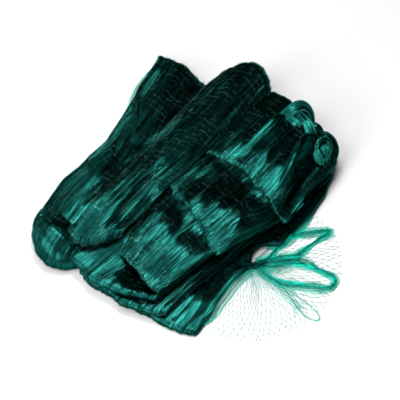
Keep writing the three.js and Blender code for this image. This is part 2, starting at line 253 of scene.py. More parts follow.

# Bundles of threads that lie on the net, in mm: tone (lit ones stand up, in a lighter colour that is painted light;
# drawn ones shine, a lighter copy of the twine colour as painted highlight; shadowed ones lie in a fold, near black
# as painted shade), width, number, and middle line on the floor in line with the camera
THREADS = table(
    ("name", "tone", "width", "number", "route"),
    ("over tier 3", "lit", 2.5, 6, ((-30, -85), (12, -51), (46, -18))),
    ("on tier 1", "lit", 5, 12, ((79, 71), (108, 102), (139, 137))),
    ("lobe ridge", "drawn", 5, 14, ((-55, -2), (-74, -22), (-92, -44))),
    ("lobe border", "drawn", 9, 12, ((-14, 144), (-58, 96), (-104, 44))),
    ("lobe fold 1", "deep", 3.5, 16, ((-70, 13), (-90, -11), (-108, -37))),
    ("lobe fold 2", "deep", 3.5, 16, ((-46, -9), (-79, -40), (-106, -48))),
    ("lobe fold 3", "deep", 4, 18, ((-48, 44), (-63, 29), (-78, 14))),
    ("lower rim", "lit", 12, 46, ((80, -138), (63, -164), (46, -190), (30, -215))),
    ("tongue rim back", "lit", 9, 34, ((-36, 243), (-55, 207), (-64, 185))),
    ("tongue rim front", "lit", 10, 30, ((-80, 152), (-110, 104), (-144, 68))),
    ("tongue slit", "deep", 3, 10, ((-68, 190), (-69, 165), (-71, 138))),
    ("tongue fold 1", "deep", 4, 16, ((-100, 114), (-105, 90), (-110, 44))),
    ("bulge hollow", "deep", 11, 60, ((-201, -46), (-183, -57), (-171, -71), (-164, -88), (-167, -101))),
    ("tier 1 corner", "deep", 17, 90, ((188, 80), (171, 46), (153, 10))),
)

# Small rolls of net that stand up from the back edge, in mm: widths at start, middle and end, height, the share of
# the strands that let the light through, and middle line
CURLS = table(
    ("name", "widths", "height", "lit", "route"),
    ("first curl outside", (14, 18, 6), 6, 0.55, (
        (140, 86, 69), (151, 97, 75), (164, 106, 80), (177, 113, 79), (188, 111, 70), (193, 102, 58),
        (191, 92, 46)
    )),
    ("first curl tassel", (7, 12, 16), 5, 0.6, (
        (168, 106, 68), (174, 98, 76), (180, 88, 79), (186, 77, 77), (191, 66, 71), (193, 59, 64)
    )),
    ("first curl fold", (9, 13, 9), 5, 0.3, ((150, 96, 66), (159, 92, 72), (169, 84, 72), (179, 75, 65))),
    ("first curl filling", (16, 22, 16), 16, 0.0, (
        (158, 98, 58), (170, 102, 63), (180, 101, 62), (187, 95, 54), (188, 86, 44)
    )),
    ("small curl", (9, 13, 10), 6, 0.3, ((184, 86, 56), (192, 88, 61), (200, 84, 60), (204, 76, 52), (200, 66, 42))),
    ("second curl outside", (12, 17, 15), 7, 0.45, (
        (192, 66, 56), (203, 70, 60), (214, 68, 60), (222, 60, 54), (224, 48, 45), (218, 34, 36), (210, 24, 28)
    )),
    ("second curl ring", (7, 5, 7), 5, 0.15, (
        (204, 24, 50), (197, 33, 56), (197, 46, 62), (204, 58, 67), (214, 59, 66), (219, 49, 61), (215, 36, 55),
        (207, 25, 49)
    )),
    ("second curl tip", (5, 9, 6), 5, 0.6, ((197, 44, 63), (200, 36, 61), (204, 28, 56), (206, 22, 50))),
    ("second curl filling", (10, 16, 12), 12, 0.0, ((198, 56, 52), (206, 54, 55), (211, 46, 53), (209, 35, 46))),
)

# Thin edges: a few strands beside a layer of a strip, between two shares of its length, thinning out over the width
# in mm. part is the layer's number, edge is 0 for its left edge and -1 for its right one, drop is the share of its
# height that it falls by, fall how steeply it starts to fall, and dark the share of dark strands.
SHEERS = table(
    ("name", "strip", "part", "edge", "from", "to", "width", "drop", "fall", "dark"),
    ("lower edge", "heap", 1, -1, 0.06, 0.46, 14, 1.0, 4.0, 0.3),
    ("upper edge", "heap", 1, -1, 0.54, 0.86, 8, 1.0, 4.0, 0.3),
    ("tongue edge", "tongue", 2, 0, 0.0, 0.97, 13, 0.7, 1.4, 0.55),
)

# Strands of the heap that run out over the edge of a tier: the tier's layer, their reach in mm and their number
OVERHANGS = table(
    ("name", "part", "reach", "count"),
    ("tier 1 edge", 6, 6, 360),
    ("tier 2 edge", 8, 6, 360),
    ("tier 3 edge", 10, 5, 260),
)

# Loose thread ends on a part of a strip: its layer's number (with a half added for the turn after it), the columns
# between two shares of its width, the reach in mm and the number of ends
WHISKERS = table(
    ("name", "strip", "part", "columns", "reach", "count"),
    ("tongue back", "tongue", 1.5, (0.0, 1.0), 6, 130),
    ("lobe back", "heap", 11.5, (0.0, 1.0), 5, 110),
    ("tongue edge", "tongue", 2, (0.0, 0.02), 9, 260),
)


def linear(hex_colour):
    """An sRGB hex colour as linear red, green and blue."""
    parts = [int(hex_colour[i : i + 2], 16) / 255 for i in (1, 3, 5)]
    return tuple(p / 12.92 if p <= 0.04045 else ((p + 0.055) / 1.055) ** 2.4 for p in parts)


def length_property(name, description, default, least):
    """A length in metres that a user can change."""
    return FloatProperty(name=name, description=description, default=default, min=least, unit="LENGTH")


def colour_property(name, description, hex_colour):
    """A colour that a user can change."""
    return FloatVectorProperty(
        name=name, description=description, default=linear(hex_colour), subtype="COLOR", size=3, min=0, max=1
    )


class NetSizes(bpy.types.PropertyGroup):
    """Sizes of the twine and its meshes."""

    strand_spacing: length_property(
        "Strand spacing", "Distance between drawn strands of the gathered net", 0.0014, 0.0003
    )
    strand_radius: length_property("Strand radius", "Half the thickness of a drawn strand", 0.00022, 0.0001)
    bar_length: length_property("Bar length", "Distance from knot to knot along the twine", 0.010, 0.004)
    knot_radius: length_property("Knot radius", "Half the thickness of a knot", 0.00045, 0.0002)
    twine_radius: length_property(
        "Fan twine radius", "Half the thickness of the twine in the open fan", 0.00021, 0.00008
    )
    fan_radius: length_property("Fan radius", "Reach of the spread corner from its pinch", 0.137, 0.05)
    fan_meshes: IntProperty(
        name="Fan meshes", description="Open meshes round the rim of the fan", default=42, min=8
    )


class NetColours(bpy.types.PropertyGroup):
    """Colours of the twine and the studio."""

    twine: colour_property("Twine", "Lustre of the dyed twine in the heap", "#1d6a63")
    # Painted shade: netting seen between the strands, darkened for the shade that falls there. The core's streaks and
    # patches, and the dark patches of strands and knots, go towards this colour.
    depth: colour_property("Depth", "Netting seen deep between the strands", "#04302a")
    graze: colour_property("Grazing light", "Tint of light that glances off the dyed twine", "#3ea396")
    # Painted highlight: the glint colour is lighter than the twine, for strands that show as glints.
    glint: colour_property("Glint", "Strands whose filaments lie smooth and mirror the light", "#55b0a5")
    lit: colour_property("Lit twine", "A few strands that stand up and let the light through", "#2a9d8c")
    thin: colour_property("Thin net", "A few strands against the light floor", "#0cab97")
    # The dyed teal, made lighter with painted light from the floor shining through the loops.
    loops: colour_property("Loops", "Gathered loops that lie on the light floor", "#12e2c8")
    open_net: colour_property("Open net", "Single threads of the fan, with the light floor through them", "#1c7f73")
    # Knots are coloured paler than the twine.
    knot: colour_property("Knot", "Pale tops of the knots", "#5b8d84")
    floor: colour_property("Floor", "Studio floor", "#dbdbdb")


def smooth(w):
    """From 0 to 1, eased at both ends."""
    return w * w * (3 - 2 * w)


def hump(t):
    """0 at both ends and 1 in the middle."""
    return 4 * t * (1 - t)


def ramp_down(p):
    """From 1 to 0 at an even slope, rounded at both ends."""
    soft = 0.2
    p = np.clip(p, 0, 1)
    start = p**2 / (2 * soft * (1 - soft))
    end = 1 - (1 - p) ** 2 / (2 * soft * (1 - soft))
    return 1 - np.where(p < soft, start, np.where(p > 1 - soft, end, (p - soft / 2) / (1 - soft)))


def unit(v):
    """Vectors scaled to length 1."""
    return v / np.maximum(np.linalg.norm(v, axis=-1, keepdims=True), 1e-9)


def lengths_along(points):
    """Length along a line up to each of its points."""
    return np.concatenate([[0], np.cumsum(np.linalg.norm(np.diff(points, axis=0), axis=1))])


def sway(rng, run, reach, length):
    """A wave along a line, with a random phase."""
    return reach * np.sin(run / length + rng.uniform(0, PHASES))


def left_of(route):
    """Unit vectors to the left of a flat route, one for each of its points."""
    ahead = unit(np.gradient(route, axis=0))
    return np.column_stack([-ahead[:, 1], ahead[:, 0]])


def ring_quads(rings, size):
    """Quads between closed rings of points, each joined to the next."""
    i, k = np.meshgrid(np.arange(rings - 1), np.arange(size), indexing="ij")
    nxt = (k + 1) % size
    quads = np.stack([i * size + k, i * size + nxt, (i + 1) * size + nxt, (i + 1) * size + k], axis=-1)
    return quads.reshape(-1, 4)


def level_at(levels, f):
    """Height at f along a layer, eased from each of its levels to the next."""
    levels = np.array(levels, float)
    place = np.asarray(f) * (len(levels) - 1)
    before = np.clip(np.floor(place).astype(int), 0, max(0, len(levels) - 2))
    after = np.minimum(before + 1, len(levels) - 1)
    return levels[before] + (levels[after] - levels[before]) * smooth(place - before)


def settling(rim, x, y):
    """Share of the height that is left at a place near a rim."""
    start = np.array(rim["from"], float)
    run = unit(np.array(rim["to"], float) - start)
    inside = run[0] * (y - start[1]) - run[1] * (x - start[0])
    return rim["left"] + (1 - rim["left"]) * smooth(np.clip(inside / rim["width"], 0, 1))


def swelling(x, y):
    """Factor on the height at a place, from the puffed places, ragged along the strands, and the ridges."""
    factor = np.ones_like(x)
    for row in SWELLS:
        turn = math.radians(row["heading"])
        ahead = (x - row["at"][0]) * math.cos(turn) + (y - row["at"][1]) * math.sin(turn)
        aside = (y - row["at"][1]) * math.cos(turn) - (x - row["at"][0]) * math.sin(turn)
        strays = np.sin(aside / STRAY_COARSE + row["at"][0]) + 0.5 * np.sin(aside / STRAY_FINE + row["at"][1])
        ahead = ahead + row["ragged"] * strays
        slope = np.where(ahead > 0, ahead / row["front"], -ahead / row["back"])
        across = np.clip(np.abs(aside) / row["half"], 0, 1)
        factor += row["rise"] * ramp_down(slope) * (1 - smooth(across) ** 2)
    for row in RIDGES:
        start = np.array(row["from"], float)
        span = np.array(row["to"], float) - start
        length = np.linalg.norm(span)
        run = span / length
        ahead = ((x - start[0]) * run[0] + (y - start[1]) * run[1]) / length
        aside = (y - start[1]) * run[0] - (x - start[0]) * run[1]
        ends = smooth(np.clip(RIDGE_REACH - np.abs(ahead - 0.5) * 2, 0, 1))
        wide = np.where(aside > 0, row["left"], row["right"])
        factor += row["rise"] * ends * np.exp(-((aside / wide) ** 2))
    return factor


def strip_middle(creases, layers, rim, across):
    """Middle surface of a folded strip, one row for each cross-section: points, thickness, length along it, and the
    layer's number (with a half added in the turn after it)."""
    t = across
    left = [np.array(c["left"], float) for c in creases]
    right = [np.array(c["right"], float) for c in creases]
    middles = [(a + b) / 2 for a, b in zip(left, right)]
    outward = [unit(m - (middles[i - 1] if i else middles[1])) for i, m in enumerate(middles)]
    corners = []
    for i, crease in enumerate(creases):
        push = crease.get("bulge", 0) * hump(t)
        if "lobes" in crease:
            push = push + crease["depth"] * np.abs(np.sin(np.pi * crease["lobes"] * t))
        for row in RUFFLES:
            wave = np.sin(FULL_TURN * (row["waves"] * t + row["phase"] * (i + 1)))
            push = push + crease.get("ruffle", 0) * row["share"] * wave
        corners.append(left[i] + (right[i] - left[i]) * t[:, None] + outward[i] * push[:, None])
    along = [unit(corners[i + 1] - corners[i]) for i in range(len(layers))]
    lift = [c.get("arch", 0) * hump(t) for c in creases]

    def turn(i):
        before = layers[i - 1]["levels"][-1] + layers[i - 1].get("crown", 0) * hump(t) + lift[i]
        after = layers[i]["levels"][0] + layers[i].get("crown", 0) * hump(t) + lift[i]
        radius = np.abs(after - before) / 2
        return before, after, radius, radius + (layers[i - 1]["thick"] + layers[i]["thick"]) / 4

    def fade(distance):
        return 1 - smooth(np.minimum(1, distance / ARCH_RUN))

    rows, thick, part = [], [], []
    for i, layer in enumerate(layers):
        start = corners[i] + (along[i] * turn(i)[3][:, None] if i else 0)
        end = corners[i + 1] - (along[i] * turn(i + 1)[3][:, None] if i < len(layers) - 1 else 0)
        length = np.linalg.norm(end - start, axis=1)
        steps = max(LEAST_STEPS, round(float(length.mean()) / layer["pitch"]))
        sideways = unit(right[i] - left[i])
        for f in np.linspace(0, 1, steps + 1):
            pull = level_at(layer.get("left_line", (0,)), f) * (1 - t)
            pull = pull + level_at(layer.get("right_line", (0,)), f) * t**2
            at = start + (end - start) * f + sideways * pull[:, None]
            z = level_at(layer["levels"], f) + layer.get("crown", 0) * hump(t)
            z = z + layer.get("right_rise", 0) * t**2 * hump(f)
            z = z + lift[i] * fade(length * f) + lift[i + 1] * fade(length * (1 - f))
            rows.append(np.column_stack([at, z]))
            thick.append(layer["thick"])
            part.append(i)
        if i == len(layers) - 1:
            break
        before, after, radius, reach = turn(i + 1)
        back = corners[i + 1] + along[i + 1] * reach[:, None]
        turns = max(LEAST_TURNS, round(math.pi * float(radius.mean()) / TURN_STEP))
        for step in range(1, turns):
            w = step / turns
            angle = math.pi * (w - 0.5)
            facing = unit(along[i] * (1 - w) - along[i + 1] * w)
            at = end * (1 - w) + back * w + facing * (radius * math.cos(angle))[:, None]
            rows.append(np.column_stack([at, before + (after - before) * (1 + math.sin(angle)) / 2]))
            thick.append(layer["thick"] + (layers[i + 1]["thick"] - layer["thick"]) * w)
            part.append(i + 0.5)
    points = np.array(rows)
    x, y = points[:, :, 0], points[:, :, 1]
    points[:, :, 2] *= settling(rim, x, y) * swelling(x, y)
    run = lengths_along(points[:, points.shape[1] // 2])
    return points, np.array(thick, float), run, np.array(part)


def surface_normals(points):
    """Unit normals of a grid of points."""
    onward = np.gradient(points, axis=0)
    sideways = np.gradient(points, axis=1)
    return unit(np.cross(onward, sideways))


def gathers(run, width, seed):
    """Height of the gathers at each place of a strip: round backs with sharp grooves between them."""
    rng = np.random.default_rng(seed)
    height = np.zeros((len(run), len(width)))
    for row in GATHERS:
        phase, turn = rng.uniform(0, FULL_TURN, 2)
        sway = row["sway"] * np.sin(FULL_TURN * run[:, None] / row["length"] + turn + width[None] / GATHER_LEAN)
        wave = np.abs(np.sin(math.pi * (width[None] + sway) / row["width"] + phase))
        height += row["height"] * (wave**GATHER_BACK - GATHER_MEAN)
    for row in RIPPLES:
        phase = rng.uniform(0, FULL_TURN)
        for wide, swing in row["swings"]:
            phase = phase + swing * np.sin(FULL_TURN * width / wide + rng.uniform(0, FULL_TURN))
        height += row["height"] * np.sin(FULL_TURN * run[:, None] / row["length"] + phase[None])
    return height


class Strip:
    """A folded strip with its two gathered faces on one grid, in the frame's axes and in mm."""

    def __init__(self, creases, layers, rim, columns, seed):
        self.across = (1 - np.cos(np.pi * np.linspace(0, 1, columns))) / 2
        self.across = EDGE_CROWDING * self.across + (1 - EDGE_CROWDING) * np.linspace(0, 1, columns)
        middle, thick, self.run, self.part = strip_middle(creases, layers, rim, self.across)
        middle = middle + FRAME_SHIFT
        normal = surface_normals(middle)
        wide = np.linalg.norm(middle[:, -1] - middle[:, 0], axis=1)
        self.width = self.across * float(wide.mean())
        to_edge = np.minimum(self.across, 1 - self.across)[None] * wide[:, None]
        thin = np.minimum(1, to_edge / EDGE_ROUNDING)
        edge = np.sqrt(1 - (1 - thin) ** 2)
        fold = gathers(self.run, self.width, seed) * edge
        self.faces = []
        self.normals = []
        for side in (1, -1):
            offset = side * (thick[:, None] / 2 * edge) + fold
            face = middle + normal * offset[..., None]
            face[..., 2] = np.maximum(face[..., 2], CORE_GAP)
            self.faces.append(face)
            self.normals.append(normal * side)

    def core_mesh(self):
        """Vertices, faces and texture coordinates (metres across and along) of the closed core."""
        front, back = self.faces
        rows, columns = front.shape[:2]
        loop = np.concatenate([front, back[:, -2:0:-1]], axis=1)
        size = loop.shape[1]
        faces = [tuple(q) for q in ring_quads(rows, size)]
        for first, turned in ((0, True), ((rows - 1) * size, False)):
            for n in range(columns - 1):
                ring = [first + m % size for m in (n, n + 1, size - n - 1, size - n)]
                ring = list(dict.fromkeys(ring))
                faces.append(ring[::-1] if turned else ring)
        wide = np.concatenate([self.width, self.width[-2:0:-1]])
        uv = np.stack(np.broadcast_arrays(wide[None] * MM, self.run[:, None] * MM), axis=-1)
        return loop.reshape(-1, 3) * MM, faces, uv.reshape(-1, 2)


def make_object(name, vertices, faces, material, uv=None):
    """A mesh object in the scene, smooth, with its texture coordinates if it has any."""
    mesh = bpy.data.meshes.new(name)
    mesh.from_pydata([tuple(v) for v in np.asarray(vertices).tolist()], [], [tuple(int(n) for n in f) for f in faces])
    mesh.polygons.foreach_set("use_smooth", np.ones(len(mesh.polygons), dtype=bool))
    if uv is not None:
        layer = mesh.uv_layers.new(name="strip")
        corner = np.zeros(len(mesh.loops), dtype=np.int32)
        mesh.loops.foreach_get("vertex_index", corner)
        layer.data.foreach_set("uv", np.asarray(uv)[corner].ravel().astype(np.float32))
    mesh.update()
    if mesh.validate(verbose=False):
        raise RuntimeError(name + " has faults in its mesh")
    mesh.materials.append(material)
    piece = bpy.data.objects.new(name, mesh)
    bpy.context.collection.objects.link(piece)
    return piece


def settle_piece(piece):
    """The piece moves with the net."""
    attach(piece, BODY)
    return piece


class Tubes:
    """Many thin closed tubes of three sides, gathered as one mesh."""

    SIDES = 3

    def __init__(self):
        self.vertices = []
        self.faces = []
        self.tones = []
        self.count = 0

    def add(self, points, up, radius, tone=0):
        """A tube along points (mm), with up (one unit vector, or one for each point) towards its outer ridge. tone is
        its material's number."""
        onward = unit(np.gradient(points, axis=0))
        side = unit(np.cross(onward, up))
        top = np.cross(side, onward)
        rings = []
        for k in range(self.SIDES):
            angle = math.pi / 2 + FULL_TURN * k / self.SIDES
            rings.append(points + radius * (math.sin(angle) * top + math.cos(angle) * side))
        ring = np.stack(rings, axis=1)
        ring[..., 2] = np.maximum(ring[..., 2], THREAD_GAP)
        self.vertices.append(ring.reshape(-1, 3) * MM)
        rows, size = ring.shape[:2]
        quads = ring_quads(rows, size)[:, (0, 3, 2, 1)] + self.count
        self.faces += quads.tolist()
        self.faces.append([self.count + n for n in range(size)])
        self.faces.append([self.count + (rows - 1) * size + n for n in range(size - 1, -1, -1)])
        self.tones += [tone] * (len(quads) + 2)
        self.count += rows * size

    def build(self, name, *materials):
        """All tubes as one object, with its materials in the order of the tones' numbers."""
        piece = make_object(name, np.concatenate(self.vertices), self.faces, materials[0])
        for material in materials[1:]:
            piece.data.materials.append(material)
        piece.data.polygons.foreach_set("material_index", np.array(self.tones, dtype=np.int32))
        return piece


KNOT_POINTS = np.array([(1, 0, 0), (-1, 0, 0), (0, 1, 0), (0, -1, 0), (0, 0, 1), (0, 0, -1)], float)
KNOT_FACES = np.array(
    [(0, 2, 4), (2, 1, 4), (1, 3, 4), (3, 0, 4), (2, 0, 5), (1, 2, 5), (3, 1, 5), (0, 3, 5)]
)


def knots_mesh(centres, radii):
    """Vertices and faces of small eight-sided knots, one at each centre (mm)."""
    centres = np.asarray(centres, float)
    radii = np.broadcast_to(np.asarray(radii, float), (len(centres),))
    vertices = centres[:, None] + KNOT_POINTS[None] * radii[:, None, None]
    vertices[..., 2] = np.maximum(vertices[..., 2], THREAD_GAP)
    faces = KNOT_FACES[None] + len(KNOT_POINTS) * np.arange(len(centres))[:, None, None]
    return vertices.reshape(-1, 3) * MM, faces.reshape(-1, 3).tolist()


LOOKS = ((55, 6), (20, 8))  # elevation in degrees and number of the sides from which the net is seen
LOOK_GAP = 1.2  # height over the face from which it is seen, in mm
GRAZING = 0.02  # least cosine between the face's normal and the side


def shows(tree, strip):
    """For each face of a strip, which of its places can be seen from outside, tested on a coarse grid."""
    row_step, column_step = 2, 4
    looks = [Vector((0, 0, 1))]
    for elevation, count in LOOKS:
        rise = math.radians(elevation)
        for k in range(count):
            turn = FULL_TURN * (k + 0.5) / count
            looks.append(Vector((math.cos(rise) * math.cos(turn), math.cos(rise) * math.sin(turn), math.sin(rise))))
    seen = []
    for face, normal in zip(strip.faces, strip.normals):
        rows, columns = face.shape[:2]
        tested_rows, tested_columns = range(0, rows, row_step), range(0, columns, column_step)
        flags = np.zeros((len(tested_rows), len(tested_columns)), dtype=bool)
        for a, i in enumerate(tested_rows):
            for b, j in enumerate(tested_columns):
                start = Vector((face[i, j] + normal[i, j] * LOOK_GAP) * MM)
                facing = Vector(normal[i, j])
                for look in looks:
                    if look.dot(facing) > GRAZING and tree.ray_cast(start, look)[0] is None:
                        flags[a, b] = True
                        break
        wide = flags.copy()
        wide[1:] |= flags[:-1]
        wide[:-1] |= flags[1:]
        wide[:, 1:] |= flags[:, :-1]
        wide[:, :-1] |= flags[:, 1:]
        rows_at = np.minimum(np.arange(rows) // row_step, wide.shape[0] - 1)
        columns_at = np.minimum(np.arange(columns) // column_step, wide.shape[1] - 1)
        seen.append(wide[rows_at][:, columns_at])
    return seen


def on_face(grid, rows, columns):
    """Values of a face's grid at fractional columns, one for each of its rows."""
    low = np.clip(np.floor(columns).astype(int), 0, grid.shape[1] - 2)
    w = (columns - low)[..., None]
    return grid[rows, low] * (1 - w) + grid[rows, low + 1] * w


# Drawn and glinting strands are lighter colours, painted highlights; shaded strands are a darker copy, painted shade.
TONE_SHARES = (0.5, 0.38, 0.12)  # strands of drawn, shaded and glinting twine
STRAND_JITTER, STRAND_ZIGZAG = 0.18, 0.34  # how far strands stray and swing aside, in spacings
STRAND_DRIFTS = ((0.6, 47), (0.25, 17))  # how far they drift aside and over what length, in mm
STRAND_LIFT = 1.1  # least height of a strand's middle over the face, in radii
STRAND_RISE, STRAND_WAVES = 0.9, (14, 26)  # how far it rises off the face and over what lengths, in mm
SHORTEST = 4  # fewest cross-sections that a strand runs over
KNOT_STEP, KNOT_JITTER = 1.9, 0.4  # from knot to knot in a row across the gathered net and its spread, in mm
KNOT_LIFT, KNOT_SIZES = 1.3, (0.6, 1.3)  # height of a knot over the face in mm, and its range of sizes
ROW_DEPTHS, ROW_ARCS = (1.5, 4.0), (9, 16)  # depths and widths of the scallops of a knot row, in mm


def strands_on(strip, seen, sizes, seed):
    """Strands along the faces of a strip wherever they show. Neighbours meet and part from knot row to knot row."""
    rng = np.random.default_rng(seed)
    tubes = Tubes()
    spacing = sizes.strand_spacing / MM
    bar = sizes.bar_length / MM
    radius = sizes.strand_radius / MM
    rows = np.arange(len(strip.run))
    columns = len(strip.across)
    for face, normal, show in zip(strip.faces, strip.normals, seen):
        count = int(strip.width[-1] / spacing)
        for k in range(1, count):
            place = (k + rng.normal(0, STRAND_JITTER)) * spacing
            zigzag = STRAND_ZIGZAG * spacing * np.cos(math.pi * (strip.run / bar + k))
            drift = sum(sway(rng, strip.run, *wave) for wave in STRAND_DRIFTS)
            wide = np.clip(place + zigzag + drift, 0.2, strip.width[-1] - 0.2)
            column = np.interp(wide, strip.width, np.arange(columns))
            up = unit(on_face(normal, rows, column))
            lift = STRAND_LIFT * radius + STRAND_RISE * sway(rng, strip.run, 1, rng.uniform(*STRAND_WAVES)) ** 2
            points = on_face(face, rows, column) + up * lift[:, None]
            visible = show[rows, np.clip(np.round(column).astype(int), 0, columns - 1)]
            ends = np.flatnonzero(np.diff(np.concatenate([[0], visible.astype(int), [0]])))
            for first, last in zip(ends[::2], ends[1::2]):
                if last - first >= SHORTEST:
                    tone = int(rng.choice(3, p=TONE_SHARES))
                    tubes.add(points[first:last], up[first:last], radius, tone)
    return tubes


def knot_rows_on(strip, seen, sizes, seed):
    """Knots in scalloped rows across a strip, a bar's length apart, wherever they show."""
    rng = np.random.default_rng(seed)
    bar = sizes.bar_length / MM
    centres, radii = [], []
    columns = len(strip.across)
    for face, normal, show in zip(strip.faces, strip.normals, seen):
        for k in range(1, int(strip.run[-1] / bar)):
            phase, depth = rng.uniform(0, PHASES), rng.uniform(*ROW_DEPTHS)
            wide = np.arange(1.0, strip.width[-1] - 1.0, KNOT_STEP)
            wide = wide + rng.normal(0, KNOT_JITTER, len(wide))
            arcs = depth * np.abs(np.sin(wide / rng.uniform(*ROW_ARCS) + phase)) + 1.2 * np.sin(wide / 31 + phase)
            run = k * bar + arcs + rng.normal(0, 0.7, len(wide))
            worn = np.sin(wide / 11 + 3 * phase) + np.sin(wide / 4.3 + phase) > -0.5
            row = np.interp(run, strip.run, np.arange(len(strip.run)))
            column = np.interp(wide, strip.width, np.arange(columns))
            low = np.clip(np.floor(row).astype(int), 0, len(strip.run) - 2)
            w = (row - low)[:, None]
            here = on_face(face, low, column) * (1 - w) + on_face(face, low + 1, column) * w
            up = unit(on_face(normal, low, column))
            visible = show[low, np.clip(np.round(column).astype(int), 0, columns - 1)] & worn
            size = sizes.knot_radius / MM * rng.uniform(*KNOT_SIZES, len(wide))
            centres.append((here + up * KNOT_LIFT)[visible])
            radii.append(size[visible])
    return np.concatenate(centres), np.concatenate(radii)


def add_node(tree, kind, links=(), **settings):
    """A node with its settings. links are (from node, its output, this node's input)."""
    node = tree.nodes.new(kind)
    for name, value in settings.items():
        if name in node.inputs and not hasattr(node, name):
            node.inputs[name].default_value = value
        else:
            setattr(node, name, value)
    for source, output, target in links:
        tree.links.new(source.outputs[output], node.inputs[target])
    return node


def new_material(name):
    """An empty node material and its node tree."""
    material = bpy.data.materials.new(name)
    material.use_nodes = True
    material.node_tree.nodes.clear()
    return material, material.node_tree


def toned(colour, factor):
    """A linear colour made lighter or darker."""
    return tuple(factor * c for c in colour)


def twines(*names):
    """The twine materials with these names, in this order."""
    return [bpy.data.materials[name + "_nylon_twine"] for name in names]


def gathered_nylon(colours):
    """Dyed nylon multifilament, knotted and pulled to a gathered sheet. The side-by-side threads shine like satin:
    light runs across them in narrow bands, and the hollows between them are painted almost black: streaks and patches
    darken the colour towards the depth colour as painted shade. The threads are 0.25 mm thick, and the streaks stand
    for clumps of about 2.4 mm, because single ones are too fine to show."""
    material, tree = new_material("gathered_nylon_net")
    at = add_node(tree, "ShaderNodeUVMap", uv_map="strip")
    stretch = add_node(tree, "ShaderNodeMapping", [(at, "UV", "Vector")], Scale=(1 / 0.0024, 1 / 0.050, 1.0))
    streak = add_node(tree, "ShaderNodeTexNoise", [(stretch, "Vector", "Vector")], Scale=1.0, Detail=3.0, Roughness=0.6)
    patch_at = add_node(tree, "ShaderNodeMapping", [(at, "UV", "Vector")], Scale=(1 / 0.012, 1 / 0.12, 1.0))
    patch = add_node(tree, "ShaderNodeTexNoise", [(patch_at, "Vector", "Vector")], Scale=1.0, Detail=2.0)
    # Painted shade: the dark end of each streak, in the hollows between clumps.
    ramp = add_node(tree, "ShaderNodeValToRGB", [(streak, "Fac", "Fac")])
    ramp.color_ramp.elements[0].position = 0.36
    ramp.color_ramp.elements[0].color = (*toned(colours.depth, 0.45), 1)
    ramp.color_ramp.elements[1].position = 0.66
    ramp.color_ramp.elements[1].color = (*colours.twine, 1)
    # Painted shade: patches that mix the colour towards the depth colour.
    deep = add_node(tree, "ShaderNodeMapRange", [(patch, "Fac", "Value")])
    for name, value in (("From Min", 0.42), ("From Max", 0.72), ("To Min", 0.0), ("To Max", 0.75)):
        deep.inputs[name].default_value = value
    shade = add_node(tree, "ShaderNodeMix", [(deep, "Result", "Factor")], data_type="RGBA")
    tree.links.new(ramp.outputs["Color"], shade.inputs[6])
    shade.inputs[7].default_value = (*colours.depth, 1)
    rough = add_node(tree, "ShaderNodeMapRange", [(streak, "Fac", "Value")])
    rough.inputs["To Min"].default_value = 0.25
    rough.inputs["To Max"].default_value = 0.36
    bump = add_node(tree, "ShaderNodeBump", [(streak, "Fac", "Height")], Strength=0.5, Distance=0.0006)
    tangent = add_node(tree, "ShaderNodeTangent", direction_type="UV_MAP", uv_map="strip")
    shader = add_node(
        tree,
        "ShaderNodeBsdfPrincipled",
        [(shade, 2, "Base Color"), (rough, "Result", "Roughness"), (bump, "Normal", "Normal"),
         (tangent, "Tangent", "Tangent")],
        Metallic=1.0, IOR=1.53, Anisotropic=0.95,
    )
    shader.inputs["Specular Tint"].default_value = (*colours.graze, 1)
    add_node(tree, "ShaderNodeOutputMaterial", [(shader, "BSDF", "Surface")])
    return material


def nylon_twine(name, colour, dark, lustre, rough, shine, graze=(1.0, 1.0, 1.0)):
    """Drawn nylon multifilament twine, dyed through: a round, slightly rough thread that reflects in its own colour.
    The tone changes every 30 mm or so, in random patches between two colours."""
    material, tree = new_material(name)
    at = add_node(tree, "ShaderNodeTexCoord")
    patch = add_node(tree, "ShaderNodeTexNoise", [(at, "Object", "Vector")], Scale=1 / 0.03, Detail=2.0)
    ramp = add_node(tree, "ShaderNodeValToRGB", [(patch, "Fac", "Fac")])
    ramp.color_ramp.elements[0].position = 0.3
    ramp.color_ramp.elements[0].color = (*dark, 1)
    ramp.color_ramp.elements[1].position = 0.62
    ramp.color_ramp.elements[1].color = (*colour, 1)
    shader = add_node(
        tree, "ShaderNodeBsdfPrincipled", [(ramp, "Color", "Base Color")],
        Metallic=lustre, Roughness=rough, IOR=1.53,
    )
    shader.inputs["Specular IOR Level"].default_value = shine
    shader.inputs["Specular Tint"].default_value = (*graze, 1)
    add_node(tree, "ShaderNodeOutputMaterial", [(shader, "BSDF", "Surface")])
    return material


def studio_floor(colours):
    """Matt painted board: an even pale ground with a trace of roller texture, about 2 mm across."""
    material, tree = new_material("matt_painted_board")
    at = add_node(tree, "ShaderNodeTexCoord")
    roller = add_node(tree, "ShaderNodeTexNoise", [(at, "Object", "Vector")], Scale=1 / 0.002, Detail=2.0)
    bump = add_node(tree, "ShaderNodeBump", [(roller, "Fac", "Height")], Strength=0.05, Distance=0.0002)
    shader = add_node(tree, "ShaderNodeBsdfPrincipled", [(bump, "Normal", "Normal")], Roughness=0.9, IOR=1.5)
    shader.inputs["Base Color"].default_value = (*colours.floor, 1)
    add_node(tree, "ShaderNodeOutputMaterial", [(shader, "BSDF", "Surface")])
    return material


STRIPS = {}  # the folded strips by name, for the pieces that lie on them


def core_tree():
    """All gathered cores as one tree for looking along rays."""
    vertices, faces = [], []
    for strip in STRIPS.values():
        base = len(vertices)
        points, core, _ = strip.core_mesh()
        vertices += points.tolist()
        faces += [[n + base for n in face] for face in core]
    return BVHTree.FromPolygons(vertices, faces)


